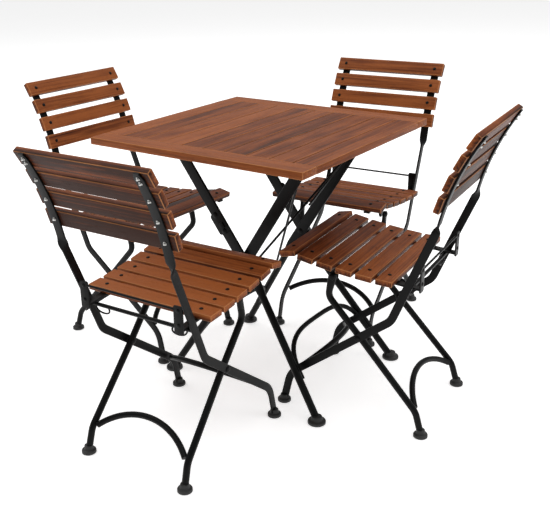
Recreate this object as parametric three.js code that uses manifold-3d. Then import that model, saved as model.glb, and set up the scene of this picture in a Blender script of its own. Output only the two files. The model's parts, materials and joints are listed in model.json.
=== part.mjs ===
// Patio dining set: a square slatted folding table with four folding slatted chairs.
// Millimetres, +Z up. The origin is the middle of the set's bounding box, on the ground.
import * as THREE from "three";
import { mergeVertices } from "three/addons/utils/BufferGeometryUtils.js";
import Module from "manifold-3d";

const wasm = await Module();
wasm.setup();

// ---- Driving dimensions: general ----
const GAP = 0.35; // running gap between neighbouring pieces
const ROUND_SIDES = 8; // sides of a round bar
const BEND_STEPS = 3; // flats in a bend

// ---- Driving dimensions: table ----
const TOP_SIDE = 680;
const TOP_HEIGHT = 735;
const TOP_THICK = 20;
const BOARD_COUNT = 10;
const BOARD_GAP = 3;
const END_BOARD_WIDTH = 62;
const BATTEN_WIDTH = 40;
const BATTEN_THICK = 9;
const BATTEN_INSET = 230; // from the middle of the top to a batten
const LEG_TOP_Z = 690; // axis of the bars that carry the top
const OUTER_TOP_X = -185;
const OUTER_FOOT_X = 313;
const INNER_TOP_X = 222;
const INNER_FOOT_X = -200;
const OUTER_UPPER_Y = 157; // half spacing of the outer frame above the pivot
const OUTER_FOOT_Y = 223;
const INNER_UPPER_Y = 144;
const INNER_FOOT_Y = 201;
const LEG_WIDTH = 34;
const LEG_THICK = 8;
const LOWER_LEG_RADIUS = 10.5;
const LEG_SPLAY_DROP = 55; // how far below the pivot the legs start to spread
const TABLE_FOOT_RADIUS = 25;
const TABLE_FOOT_HEIGHT = 14;
const TABLE_ARCH_FOOT_Z = 98;
const TABLE_ARCH_RADIUS = 7;
const TABLE_ARCH_SHOULDER = 0.6; // under 1 squares the arch's shoulders
const TABLE_ARCH_TOP_Z = 195;
const CATCH_PLATE_Z = 492;
const CATCH_PLATE = [40, 5, 64]; // wide, thick, long
const CARRIER_RADIUS = 8;
const BRACE_RADIUS = 3.5;
const BRACE_TOP_Z = 655;
const BRACE_LOW_Z = 245;

// ---- Driving dimensions: chair, side view (y forward, z up) ----
const STILE_X = 160; // half spacing of the two long bars
const STILE_WIDE = 25;
const STILE_DEEP = 22;
const STILE_THICK = 5;
const TWIST = [-164, 580]; // where each long bar turns from edge-on to face-on
const TWIST_OVERLAP = 8;
const BACK_LENGTH = 256; // along the curve, from the twist to the tip
const BACK_LEAN_LOW = 11; // degrees
const BACK_LEAN_HIGH = 33;
const STILE_CORNERS = [[-92, 401, 150], [-59, 316, 50], [226, 95, 75], [245, 8]]; // y, z, bend radius
const FRONT_SPLAY = 5; // how much the front feet stand outside the stiles
const SPLAY_FROM_Z = 250;
const REAR_LEG_X = 146.5;
const REAR_FOOT_X = 155;
const REAR_LEG_RADIUS = 9;
const PIVOT = [30, 246]; // where the legs cross
const SEAT_HINGE = [112, 402];
const REAR_LEG_CORNERS = [SEAT_HINGE, [123, 346, 32], PIVOT, [-137, 67, 60], [-155, 8]];
const ARCH_RADIUS = 8;
const ARCH_RISE = 62;
const FRONT_ARCH_FOOT = [200, 115]; // where the arches spring from the legs
const REAR_ARCH_FOOT = [-130, 73];
const CHAIR_FOOT_RADIUS = 19;
const CHAIR_FOOT_HEIGHT = 12;

// ---- Driving dimensions: chair seat and back ----
const SLAT_LENGTH = 376;
const SEAT_SLAT_COUNT = 6;
const SEAT_PITCH = 54.3;
const SEAT_REAR = [-45, 437]; // middle of the rear slat's upper face
const SEAT_SLOPE = 0.037; // rise per length at the rear slat
const SEAT_RADIUS = 1470; // the seat dips along this arc
const NOSE_TILT = -11; // the front slat rolls down, degrees
const NOSE_Z = 468;
const NOSE_EDGE = 22.4;
const SEAT_SLAT_WIDTH = 45;
const SEAT_SLAT_THICK = 16;
const RAIL_X = 141;
const RAIL_WIDTH = 20;
const RAIL_THICK = 5;
const RAIL_REAR = [-128, 431.5]; // the rails reach back past the slats to the brackets
const RAIL_LUG = [5, 22, 38]; // x, y, z
const STRIP_THICK = 4;
const STRIP_BURY = 1.5;
const BACK_SLAT_COUNT = 4;
const BACK_SLAT_FIRST = 68; // along the curve, from the twist
const BACK_SLAT_PITCH = 56;
const BACK_SLAT_WIDTH = 42;
const BACK_SLAT_THICK = 14;
const END_PLATE = [26, 4, 71]; // x, y, z; stands on the rear end of each rail
const END_PLATE_X = 142;
const END_PLATE_Z = 440.5;
const CATCH_ROD = [-128, 466, 3]; // y, z, radius
const SLIDER_BAR = [-96, 404, 5];
const GUIDE_X = 118;
const GUIDE_WIRE = 2.2;
const GUIDE_LOOP = [[-18, 403], [-23, 393], [-17, 385], [0, 383], [17, 388], [24, 402]]; // across, z

// Where each chair stands: middle of the seat region, and the way that it faces.
const CHAIR_PLACES = [
  { name: "chair1", x: 47, y: -508, turn: 2.5 },
  { name: "chair2", x: 410, y: 13, turn: 95 },
  { name: "chair3", x: 40, y: 495, turn: 184 },
  { name: "chair4", x: -498, y: -18, turn: -91.4 },
];

const STEEL = new THREE.MeshStandardMaterial({ color: 0x15171a, roughness: 0.45, metalness: 0.6 });
const WOOD = new THREE.MeshStandardMaterial({ color: 0x8a4a26, roughness: 0.55, metalness: 0 });

// ---- Solids ----

function toSolid(geometry) {
  const bare = geometry.clone();
  bare.deleteAttribute("normal");
  bare.deleteAttribute("uv");
  const merged = mergeVertices(bare, 1e-4);
  return new wasm.Manifold(
    new wasm.Mesh({
      numProp: 3,
      vertProperties: merged.attributes.position.array,
      triVerts: new Uint32Array(merged.index.array),
    }),
  );
}

// Joins geometries that overlap into one closed geometry.
function join(...geometries) {
  const solid = geometries.map(toSolid).reduce((sum, next) => sum.add(next));
  const mesh = solid.getMesh();
  const joined = new THREE.BufferGeometry();
  joined.setAttribute("position", new THREE.BufferAttribute(mesh.vertProperties, 3));
  joined.setIndex(new THREE.BufferAttribute(mesh.triVerts, 1));
  joined.computeVertexNormals();
  return joined;
}

// ---- Shapes ----

function box(sizeX, sizeY, sizeZ, x, y, z) {
  return new THREE.BoxGeometry(sizeX, sizeY, sizeZ).translate(x, y, z);
}

function disc(radius, height, x, y, z) {
  return new THREE.CylinderGeometry(radius, radius, height, 12).rotateX(Math.PI / 2).translate(x, y, z);
}

// A round bar along X.
function crossRod(radius, halfLength, y, z) {
  const rod = new THREE.CylinderGeometry(radius, radius, 2 * halfLength, ROUND_SIDES);
  return rod.rotateZ(Math.PI / 2).translate(0, y, z);
}

// A round bar along a smooth line through points.
function tube(points, radius, steps, sides = ROUND_SIDES) {
  const line = new THREE.CatmullRomCurve3(points, false, "centripetal");
  const section = new THREE.Shape(
    Array.from({ length: sides }, (_, i) => {
      const angle = (2 * Math.PI * i) / sides;
      return new THREE.Vector2(radius * Math.cos(angle), radius * Math.sin(angle));
    }),
  );
  return new THREE.ExtrudeGeometry(section, { extrudePath: line, steps });
}

// A flat bar from one point to another; its wide side lies along the given direction.
function flatBar(from, to, width, thick, wideWay) {
  const along = to.clone().sub(from);
  const length = along.length();
  along.normalize();
  const thin = along.clone().cross(wideWay).normalize();
  const wide = thin.clone().cross(along);
  const middle = from.clone().lerp(to, 0.5);
  const place = new THREE.Matrix4().makeBasis(along, wide, thin).setPosition(middle);
  return new THREE.BoxGeometry(length, width, thick).applyMatrix4(place);
}

// The outline of a strip of constant width along a line of points.
function stripOutline(points, width) {
  const path = points.map(([u, v]) => new THREE.Vector2(u, v));
  const sides = path.map((point, i) => {
    const before = path[Math.max(i - 1, 0)];
    const after = path[Math.min(i + 1, path.length - 1)];
    const along = after.clone().sub(before).normalize();
    return new THREE.Vector2(-along.y, along.x).multiplyScalar(width / 2);
  });
  const left = path.map((point, i) => point.clone().add(sides[i]));
  const right = path.map((point, i) => point.clone().sub(sides[i]));
  return new THREE.Shape([...left, ...right.reverse()]);
}

// A line through corners [y, z, bend radius], with each bend as an arc; an end has no bend.
function bentLine(corners) {
  const spot = (i) => new THREE.Vector2(corners[i][0], corners[i][1]);
  return corners.flatMap(([y, z, radius], i) => {
    if (!radius) return [[y, z]]; // a straight joint needs no arc
    const back = spot(i - 1).sub(spot(i)).normalize();
    const ahead = spot(i + 1).sub(spot(i)).normalize();
    const half = Math.acos(back.dot(ahead)) / 2;
    const centre = back.clone().add(ahead).setLength(radius / Math.sin(half)).add(spot(i));
    const start = spot(i).addScaledVector(back, radius / Math.tan(half));
    const sweep = (Math.PI - 2 * half) * -Math.sign(back.cross(ahead));
    return Array.from({ length: BEND_STEPS + 1 }, (_, k) =>
      start.clone().rotateAround(centre, (sweep * k) / BEND_STEPS).toArray(),
    );
  });
}

// A bent flat bar whose side view is the line of (y, z) points; it is `across` wide in X.
function bentBar(points, width, across, x) {
  const bar = new THREE.ExtrudeGeometry(stripOutline(points, width), { depth: across, bevelEnabled: false });
  // The extrusion's own axes x, y, z become the chair's y, z, x.
  const turn = new THREE.Matrix4().set(0, 0, 1, x - across / 2, 1, 0, 0, 0, 0, 1, 0, 0, 0, 0, 0, 1);
  return bar.applyMatrix4(turn);
}

// A bow from one leg to the other, leaning along the legs: part of a circle.
function bowPoints(halfSpan, foot, top, count) {
  const rise = Math.hypot(top[0] - foot[0], top[1] - foot[1]);
  const radius = (halfSpan ** 2 + rise ** 2) / (2 * rise);
  const half = Math.asin(halfSpan / radius);
  return Array.from({ length: count + 1 }, (_, i) => {
    const angle = half * ((2 * i) / count - 1);
    const share = (radius * Math.cos(angle) - radius + rise) / rise;
    return new THREE.Vector3(
      radius * Math.sin(angle),
      foot[0] + (top[0] - foot[0]) * share,
      foot[1] + (top[1] - foot[1]) * share,
    );
  });
}

// An arch from one leg to the other; a shoulder of 1 makes it half an ellipse.
function archPoints(halfSpan, foot, top, count, shoulder) {
  return Array.from({ length: count + 1 }, (_, i) => {
    const angle = (Math.PI * i) / count;
    const rise = Math.sin(angle) ** shoulder;
    const reach = Math.sign(Math.cos(angle)) * Math.abs(Math.cos(angle)) ** shoulder;
    return new THREE.Vector3(
      -halfSpan * reach,
      foot[0] + (top[0] - foot[0]) * rise,
      foot[1] + (top[1] - foot[1]) * rise,
    );
  });
}

function addMesh(group, name, geometry, material) {
  const mesh = new THREE.Mesh(geometry, material);
  mesh.name = name;
  group.add(mesh);
}

// ---- Chair ----

// Spreads what is low outwards, so that the front feet stand a little wider than the back.
function spreadFeet(geometry, side) {
  const position = geometry.attributes.position;
  for (let i = 0; i < position.count; i += 1) {
    const drop = Math.max(0, SPLAY_FROM_Z - position.getZ(i)) / SPLAY_FROM_Z;
    position.setX(i, position.getX(i) + side * FRONT_SPLAY * drop);
  }
  return geometry;
}

// A point of the back's curve and its lean in degrees, a distance up from the twist.
function backCurve(distance) {
  const bend = (BACK_LEAN_HIGH - BACK_LEAN_LOW) / BACK_LENGTH;
  const radius = 1 / THREE.MathUtils.degToRad(bend);
  const low = THREE.MathUtils.degToRad(BACK_LEAN_LOW);
  const lean = low + distance / radius;
  return [
    TWIST[0] - radius * (Math.cos(low) - Math.cos(lean)),
    TWIST[1] + radius * (Math.sin(lean) - Math.sin(low)),
    THREE.MathUtils.radToDeg(lean),
  ];
}

// How far up the back's curve each slat sits.
function backSlatDistances() {
  return Array.from({ length: BACK_SLAT_COUNT }, (_, i) => BACK_SLAT_FIRST + i * BACK_SLAT_PITCH);
}

function stile(side) {
  const x = side * STILE_X;
  const footAt = STILE_CORNERS[STILE_CORNERS.length - 1];
  const upper = [BACK_LENGTH, ...backSlatDistances().reverse(), 0].map(backCurve);
  const twistTop = backCurve(TWIST_OVERLAP);
  const spacerX = side * (STILE_X - STILE_THICK / 2 + 0.2);
  const spacer = new THREE.CylinderGeometry(7, 7, 3.8, 12).rotateZ(Math.PI / 2);
  return join(
    bentBar(upper, STILE_THICK, STILE_WIDE, x),
    spreadFeet(bentBar([twistTop, ...bentLine([TWIST, ...STILE_CORNERS])], STILE_DEEP, STILE_THICK, x), side),
    disc(CHAIR_FOOT_RADIUS, CHAIR_FOOT_HEIGHT, x + side * FRONT_SPLAY, footAt[0], CHAIR_FOOT_HEIGHT / 2),
    spacer.translate(spacerX, PIVOT[0], PIVOT[1]),
  );
}

function rearLeg(side) {
  const points = bentLine(REAR_LEG_CORNERS).map(([y, z]) => {
    const drop = Math.max(0, PIVOT[1] - z) / PIVOT[1];
    return new THREE.Vector3(side * (REAR_LEG_X + (REAR_FOOT_X - REAR_LEG_X) * drop), y, z);
  });
  const footAt = REAR_LEG_CORNERS[REAR_LEG_CORNERS.length - 1];
  return join(
    tube(points, REAR_LEG_RADIUS, 18),
    disc(CHAIR_FOOT_RADIUS, CHAIR_FOOT_HEIGHT, side * REAR_FOOT_X, footAt[0], CHAIR_FOOT_HEIGHT / 2),
  );
}

// A bow between two legs that rises along them from the foot point.
function chairArch(halfSpan, foot, towards) {
  const along = new THREE.Vector2(towards[0] - foot[0], towards[1] - foot[1]).normalize();
  const top = [foot[0] + along.x * ARCH_RISE, foot[1] + along.y * ARCH_RISE];
  return tube(bowPoints(halfSpan, foot, top, 10), ARCH_RADIUS, 12);
}

function sliderBar() {
  const loops = [-1, 1].map((side) => {
    const at = ([across, z]) => new THREE.Vector3(side * (GUIDE_X + across), SLIDER_BAR[0], z);
    return tube(GUIDE_LOOP.map(at), GUIDE_WIRE, 12, 5);
  });
  const halfLength = STILE_X - STILE_THICK / 2 - GAP;
  return join(crossRod(SLIDER_BAR[2], halfLength, SLIDER_BAR[0], SLIDER_BAR[1]), ...loops);
}

function catchRod() {
  return crossRod(CATCH_ROD[2], END_PLATE_X - END_PLATE[0] / 2 - GAP, CATCH_ROD[0], CATCH_ROD[1]);
}

// Height of the slats' upper faces.
function seatHeight(y) {
  const along = y - SEAT_REAR[0];
  return SEAT_REAR[1] + SEAT_SLOPE * along + along ** 2 / (2 * SEAT_RADIUS);
}

// Middle of each slat's upper face and its tilt in degrees, from the rear.
function seatPlaces() {
  return Array.from({ length: SEAT_SLAT_COUNT }, (_, i) => {
    const y = SEAT_REAR[0] + i * SEAT_PITCH;
    if (i === SEAT_SLAT_COUNT - 1) return [y, NOSE_Z, NOSE_TILT];
    const slope = SEAT_SLOPE + (y - SEAT_REAR[0]) / SEAT_RADIUS;
    return [y, seatHeight(y), THREE.MathUtils.radToDeg(Math.atan(slope))];
  });
}

// The line of the upper faces from behind the rear slat to the front edge.
function seatContour() {
  const places = seatPlaces();
  const nose = places[places.length - 1];
  const rear = SEAT_REAR[0] - SEAT_SLAT_WIDTH / 2;
  const edge = [nose[0] + NOSE_EDGE, NOSE_Z + NOSE_EDGE * Math.tan(THREE.MathUtils.degToRad(NOSE_TILT))];
  const crest = nose[0] - NOSE_EDGE;
  return [[rear, seatHeight(rear)], ...places.slice(0, -1), [crest, seatHeight(crest)], nose, edge];
}

function seatRail(side) {
  const drop = SEAT_SLAT_THICK + STRIP_THICK - STRIP_BURY + GAP + RAIL_THICK / 2;
  const line = [RAIL_REAR, ...seatContour()].map(([y, z]) => [y, z - drop]);
  const lug = box(...RAIL_LUG, side * (RAIL_X - 7.5), SEAT_HINGE[0], SEAT_HINGE[1] + 8.5);
  const endPlate = box(...END_PLATE, side * END_PLATE_X, RAIL_REAR[0], END_PLATE_Z);
  return join(bentBar(line, RAIL_THICK, RAIL_WIDTH, side * RAIL_X), lug, endPlate);
}

// A slat with its middle line along X, tilted about it.
function slat(width, thick, y, z, tilt) {
  const lean = THREE.MathUtils.degToRad(tilt);
  return new THREE.BoxGeometry(SLAT_LENGTH, width, thick).rotateX(lean).translate(0, y, z);
}

function seatSlats() {
  const drop = SEAT_SLAT_THICK - STRIP_BURY + STRIP_THICK / 2;
  const line = seatContour().map(([y, z]) => [y, z - drop]);
  const strips = [-1, 1].map((side) => bentBar(line, STRIP_THICK, RAIL_WIDTH, side * RAIL_X));
  const slats = seatPlaces().map(([y, z, tilt]) => {
    const lean = THREE.MathUtils.degToRad(tilt);
    const half = SEAT_SLAT_THICK / 2;
    return slat(SEAT_SLAT_WIDTH, SEAT_SLAT_THICK, y + half * Math.sin(lean), z - half * Math.cos(lean), tilt);
  });
  return join(...slats, ...strips);
}

// A back slat stands upright: its width runs up the stile, its thickness forward.
function backSlats() {
  const places = backSlatDistances().map(backCurve);
  const forward = STILE_THICK / 2 + GAP + 2;
  const strips = [-1, 1].map((side) =>
    bentBar(places.map(([y, z, lean]) => forwardOf(y, z, lean, forward)), 4, STILE_WIDE, side * STILE_X),
  );
  const slats = places.map(([y, z, lean]) => {
    const middle = forwardOf(y, z, lean, STILE_THICK / 2 + GAP + 2.5 + BACK_SLAT_THICK / 2);
    return slat(BACK_SLAT_WIDTH, BACK_SLAT_THICK, middle[0], middle[1], 90 + lean);
  });
  return join(...slats, ...strips);
}

function forwardOf(y, z, lean, distance) {
  const angle = THREE.MathUtils.degToRad(lean);
  return [y + distance * Math.cos(angle), z + distance * Math.sin(angle)];
}

function chairPieces() {
  const frontSpan = STILE_X - STILE_THICK / 2 - ARCH_RADIUS;
  const rearSpan = REAR_FOOT_X - REAR_LEG_RADIUS - ARCH_RADIUS - 4;
  return {
    left_stile: [stile(-1), STEEL],
    right_stile: [stile(1), STEEL],
    catch_rod: [catchRod(), STEEL],
    slider_bar: [sliderBar(), STEEL],
    front_arch: [chairArch(frontSpan, FRONT_ARCH_FOOT, STILE_CORNERS[1]), STEEL],
    left_rear_leg: [rearLeg(-1), STEEL],
    right_rear_leg: [rearLeg(1), STEEL],
    rear_arch: [chairArch(rearSpan, REAR_ARCH_FOOT, PIVOT), STEEL],
    left_seat_rail: [seatRail(-1), STEEL],
    right_seat_rail: [seatRail(1), STEEL],
    seat_slats: [seatSlats(), WOOD],
    back_slats: [backSlats(), WOOD],
  };
}

// ---- Table ----

// Height runs from the carrier bars down to the feet; both frames are straight in side view.
function outerX(z) {
  return OUTER_TOP_X + ((OUTER_FOOT_X - OUTER_TOP_X) * (LEG_TOP_Z - z)) / (LEG_TOP_Z - TABLE_FOOT_HEIGHT);
}

function innerX(z) {
  return INNER_TOP_X + ((INNER_FOOT_X - INNER_TOP_X) * (LEG_TOP_Z - z)) / (LEG_TOP_Z - TABLE_FOOT_HEIGHT);
}

function crossingZ() {
  const closing = OUTER_FOOT_X - OUTER_TOP_X - (INNER_FOOT_X - INNER_TOP_X);
  return LEG_TOP_Z - ((INNER_TOP_X - OUTER_TOP_X) / closing) * (LEG_TOP_Z - TABLE_FOOT_HEIGHT);
}

function tableLeg(lineX, side, upperY, footY, ...extras) {
  const bendZ = crossingZ() - LEG_SPLAY_DROP;
  const at = (z, y) => new THREE.Vector3(lineX(z), side * y, z);
  const wideWay = new THREE.Vector3(1, 0, 0);
  const lower = [
    at(bendZ + LOWER_LEG_RADIUS, upperY),
    at(bendZ, upperY + 1),
    at(bendZ / 2, (upperY + footY) / 2),
    at(8, footY),
  ];
  return join(
    flatBar(at(LEG_TOP_Z + 4, upperY), at(bendZ, upperY), LEG_WIDTH, LEG_THICK, wideWay),
    tube(lower, LOWER_LEG_RADIUS, 6),
    disc(TABLE_FOOT_RADIUS, TABLE_FOOT_HEIGHT, lineX(8), side * footY, TABLE_FOOT_HEIGHT / 2),
    ...extras,
  );
}

function outerLeg(side) {
  const [wide, thick, long] = CATCH_PLATE;
  const plateEnd = (z) => new THREE.Vector3(outerX(z), side * (OUTER_UPPER_Y + thick), z);
  const [upper, lower] = [plateEnd(CATCH_PLATE_Z + long / 2), plateEnd(CATCH_PLATE_Z - long / 2)];
  const plate = flatBar(upper, lower, wide, thick, new THREE.Vector3(1, 0, 0));
  const spacer = new THREE.CylinderGeometry(9, 9, 5, 12).translate(
    innerX(crossingZ()), side * (OUTER_UPPER_Y - LEG_THICK / 2 - 1.6), crossingZ(),
  );
  return tableLeg(outerX, side, OUTER_UPPER_Y, OUTER_FOOT_Y, plate, spacer);
}

function innerLeg(side) {
  return tableLeg(innerX, side, INNER_UPPER_Y, INNER_FOOT_Y);
}

function tableArch(lineX, footY, upperY) {
  const legInner = (z) => footY - ((footY - upperY) * z) / (crossingZ() - LEG_SPLAY_DROP) - LOWER_LEG_RADIUS;
  const points = archPoints(
    1, [lineX(TABLE_ARCH_FOOT_Z), TABLE_ARCH_FOOT_Z], [lineX(TABLE_ARCH_TOP_Z), TABLE_ARCH_TOP_Z],
    12, TABLE_ARCH_SHOULDER,
  );
  const reach = (p) => p.x * (legInner(p.z) - TABLE_ARCH_RADIUS - 4 * GAP);
  return tube(points.map((p) => new THREE.Vector3(p.y, reach(p), p.z)), TABLE_ARCH_RADIUS, 14);
}

// A round bar along Y between the two legs of a frame.
function carrierBar(x, halfLength) {
  const bar = new THREE.CylinderGeometry(CARRIER_RADIUS, CARRIER_RADIUS, 2 * halfLength, ROUND_SIDES);
  return bar.translate(x, 0, LEG_TOP_Z);
}

// Two thin rods crossed in the plane of the inner frame, and the flat stay beside one of them.
function crossBrace() {
  const half = INNER_UPPER_Y - LEG_THICK / 2 - 4.5;
  const high = (side) => new THREE.Vector3(innerX(BRACE_TOP_Z), side * (half - 6), BRACE_TOP_Z);
  const low = (side) => new THREE.Vector3(innerX(BRACE_LOW_Z), side * half, BRACE_LOW_Z);
  const rods = [-1, 1].map((side) => tube([high(side), low(-side)], BRACE_RADIUS, 1));
  const stayFrom = new THREE.Vector3(innerX(BRACE_TOP_Z) + 2, half - 10, BRACE_TOP_Z + 2);
  const stayTo = new THREE.Vector3(innerX(BRACE_TOP_Z - 150) + 2, half - 62, BRACE_TOP_Z - 150);
  return join(...rods, flatBar(stayFrom, stayTo, 14, 5, new THREE.Vector3(0, 1, 0)));
}

function endBoard(side) {
  const middle = side * (TOP_SIDE - END_BOARD_WIDTH) / 2;
  return box(TOP_SIDE, END_BOARD_WIDTH, TOP_THICK, 0, middle, TOP_HEIGHT - TOP_THICK / 2);
}

function slatPanel() {
  const width = (TOP_SIDE - (BOARD_COUNT - 1) * BOARD_GAP) / BOARD_COUNT;
  const length = TOP_SIDE - 2 * (END_BOARD_WIDTH + GAP);
  const boards = Array.from({ length: BOARD_COUNT }, (_, i) => {
    const x = -TOP_SIDE / 2 + width / 2 + i * (width + BOARD_GAP);
    return box(width, length, TOP_THICK, x, 0, TOP_HEIGHT - TOP_THICK / 2);
  });
  const battenZ = TOP_HEIGHT - TOP_THICK - BATTEN_THICK / 2 + 1;
  const battens = [-1, 1].map((side) =>
    box(TOP_SIDE - 50, BATTEN_WIDTH, BATTEN_THICK, 0, side * BATTEN_INSET, battenZ),
  );
  return join(...boards, ...battens);
}

function tablePieces() {
  return {
    outer_leg_front: [outerLeg(-1), STEEL],
    outer_leg_back: [outerLeg(1), STEEL],
    inner_leg_front: [innerLeg(-1), STEEL],
    inner_leg_back: [innerLeg(1), STEEL],
    outer_arch: [tableArch(outerX, OUTER_FOOT_Y, OUTER_UPPER_Y), STEEL],
    inner_arch: [tableArch(innerX, INNER_FOOT_Y, INNER_UPPER_Y), STEEL],
    hinge_bar: [carrierBar(OUTER_TOP_X, OUTER_UPPER_Y - LEG_THICK / 2 - GAP), STEEL],
    catch_bar: [carrierBar(INNER_TOP_X, INNER_UPPER_Y - 8 - GAP), STEEL],
    cross_brace: [crossBrace(), STEEL],
    end_board_front: [endBoard(-1), WOOD],
    end_board_back: [endBoard(1), WOOD],
    slat_panel: [slatPanel(), WOOD],
  };
}

// ---- Assembly ----

function place(pieces, prefix) {
  const group = new THREE.Group();
  for (const [name, [geometry, material]] of Object.entries(pieces))
    addMesh(group, `${prefix}_${name}`, geometry, material);
  return group;
}

function build() {
  const set = new THREE.Group();
  set.add(place(tablePieces(), "table"));
  const pieces = chairPieces();
  for (const spot of CHAIR_PLACES) {
    const chair = place(pieces, spot.name);
    chair.position.set(spot.x, spot.y, 0);
    chair.rotation.z = THREE.MathUtils.degToRad(spot.turn);
    set.add(chair);
  }
  set.updateMatrixWorld(true);
  const bounds = new THREE.Box3().setFromObject(set, true);
  const middle = bounds.getCenter(new THREE.Vector3());
  set.position.set(-middle.x, -middle.y, -bounds.min.z);
  return set;
}

export default build();
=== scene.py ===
"""Looks for a patio dining set: a square slatted folding table and four folding slatted chairs.

Metres, +Z up. A chair's pieces are made once, in the chair's own frame (x to the sitter's right, y forward),
and each chair gets its own copies. The table's pieces are made about the middle of the table.
"""

import json
import math
import random

import bpy
from mathutils import Matrix, Vector


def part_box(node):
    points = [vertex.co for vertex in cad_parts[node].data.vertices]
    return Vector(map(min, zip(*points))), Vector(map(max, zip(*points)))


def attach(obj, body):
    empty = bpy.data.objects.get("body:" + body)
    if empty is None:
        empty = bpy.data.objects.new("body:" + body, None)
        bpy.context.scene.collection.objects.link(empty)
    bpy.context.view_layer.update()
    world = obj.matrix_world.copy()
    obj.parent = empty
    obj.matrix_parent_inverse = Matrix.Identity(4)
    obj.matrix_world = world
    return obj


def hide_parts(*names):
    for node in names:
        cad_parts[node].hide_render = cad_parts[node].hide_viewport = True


# ---- The frame ----

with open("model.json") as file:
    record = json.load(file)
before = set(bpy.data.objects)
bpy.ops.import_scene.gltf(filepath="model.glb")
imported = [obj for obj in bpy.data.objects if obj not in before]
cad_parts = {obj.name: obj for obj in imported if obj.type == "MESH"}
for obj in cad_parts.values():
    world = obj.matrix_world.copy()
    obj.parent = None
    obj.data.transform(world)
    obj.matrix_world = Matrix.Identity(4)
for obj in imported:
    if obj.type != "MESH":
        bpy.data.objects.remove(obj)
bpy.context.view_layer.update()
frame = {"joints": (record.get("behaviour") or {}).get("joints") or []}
joints = {joint["name"]: joint for joint in frame["joints"]}

CHAIRS = ("chair1", "chair2", "chair3", "chair4")
UP = Vector((0, 0, 1))
ACROSS = Vector((1, 0, 0))
TABLE_ACROSS = Vector((0, 1, 0))

# ---- Table sizes ----

top_low, top_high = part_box("table_slat_panel")
end_low, end_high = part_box("table_end_board_front")
TABLE_MIDDLE = Vector(((top_low.x + top_high.x) / 2, (top_low.y + top_high.y) / 2, 0))
TOP_SIDE = top_high.x - top_low.x
TOP_HEIGHT = top_high.z
TOP_THICK = end_high.z - end_low.z
END_WIDTH = end_high.y - end_low.y
END_EDGE, END_TONE = 0.0026, 0.9
BOARD_COUNT, BOARD_GAP, BOARD_EDGE, BOARD_SHORT = 10, 0.003, 0.0014, 0.001
DARK_BOARD, DARK_TONE = 6, -1.1
BATTEN_WIDE, BATTEN_THICK, BATTEN_EDGE, BATTEN_TONE = 0.040, 0.0085, 0.0016, -0.3
BATTEN_INSET, BATTEN_SHORT, BATTEN_DROP = 0.230, 0.050, 0.004
LEG_TOP_Z = joints["table_top_tilt"]["pos_m"][2]
CROSSING_X = joints["table_fold"]["pos_m"][0] - TABLE_MIDDLE.x
CROSSING_Z = joints["table_fold"]["pos_m"][2]
OUTER_TOP_X = joints["table_top_tilt"]["pos_m"][0] - TABLE_MIDDLE.x
INNER_TOP_X = 0.222
OUTER_UPPER_Y, OUTER_FOOT_Y = 0.157, 0.223
INNER_UPPER_Y, INNER_FOOT_Y = 0.144, 0.201
LEG_WIDTH, LEG_THICK, LEG_EDGE = 0.034, 0.008, 0.0028
LEG_TIP, LEG_TIP_SHARE = 0.011, 0.62  # its height above the bar, and its share of the leg's width
LEG_RADIUS = 0.0105
LEG_BEND_Z = CROSSING_Z - 0.055
LEG_BEND_EASE = 0.020
LEG_PRESS_Z, LEG_PRESS_LENGTH = LEG_BEND_Z + 0.012, 0.055  # where the flat leg turns round
TABLE_FOOT_RADIUS = 0.025
TABLE_ARCH_Z, TABLE_ARCH_SHOULDER = (0.098, 0.195), 0.6
TABLE_ARCH_RADIUS, TABLE_ARCH_WELD = 0.007, 0.003
CARRIER_RADIUS = 0.008
SADDLE_Y, SADDLE_REACH, SADDLE_DROP, SADDLE_PLAY = 0.105, 0.026, 0.0012, 0.0018
SADDLE_WIDE, SADDLE_THICK, SADDLE_EDGE = 0.018, 0.0022, 0.0006
CATCH_PLATE, CATCH_PLATE_Z, CATCH_PLATE_EDGE = (0.040, 0.004, 0.064), 0.492, 0.008
CATCH_BLOCK, CATCH_BLOCK_EDGE = (0.014, 0.005, 0.018), 0.003
CATCH_BLOCK_PLACE = (0.004, 0.0035, -0.010)
CATCH_RIVET_UP, CATCH_RIVET_OUT, TABLE_RIVET_SUNK = 0.021, 0.0018, 0.0004
BRACE_Z, BRACE_RADIUS, BRACE_PLAY, BRACE_NARROWER = (0.655, 0.245), 0.0035, 0.0045, 0.006
STAY_WIDE, STAY_THICK, STAY_FALL = 0.014, 0.005, 0.150
STAY_INSET, STAY_FORWARD = (0.010, 0.062), 0.002

# ---- Chair sizes ----

STILE_X = 0.160
STILE_WIDE, STILE_DEEP, STILE_THICK = 0.025, 0.022, 0.005
STILE_TIP_SHARE = 0.55
STILE_STEP, TWIST_STEP, BACK_STEPS = 0.024, 0.006, 16
TWIST = (-0.164, 0.580)
TWIST_LENGTH = 0.034
BACK_LENGTH = 0.256
BACK_LEAN = (math.radians(11), math.radians(33))
STILE_CORNERS = ((-0.092, 0.401, 0.150), (-0.059, 0.316, 0.050), (0.226, 0.095, 0.075), (0.245, 0.008, 0))
SPLAY, SPLAY_FROM_Z = 0.005, 0.250
PIVOT = (0.030, 0.246)
SEAT_HINGE = (0.112, 0.402)
REAR_LEG_X, REAR_FOOT_X, REAR_LEG_RADIUS = 0.1465, 0.155, 0.009
REAR_LEG_STEP, REAR_LEG_TIP, REAR_TIP_ROUND = 0.040, 0.009, 0.3
PRESSED_WIDE, PRESSED_THICK, PRESSED_EDGE = 0.023, 0.009, 0.004
PRESSED_LENGTH, PRESSED_EASE = 0.022, 0.026
REAR_CORNERS = (
    (*SEAT_HINGE, 0), (0.123, 0.346, 0.032), (*PIVOT, 0), (-0.137, 0.067, 0.060), (-0.155, 0.008, 0),
)
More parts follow.
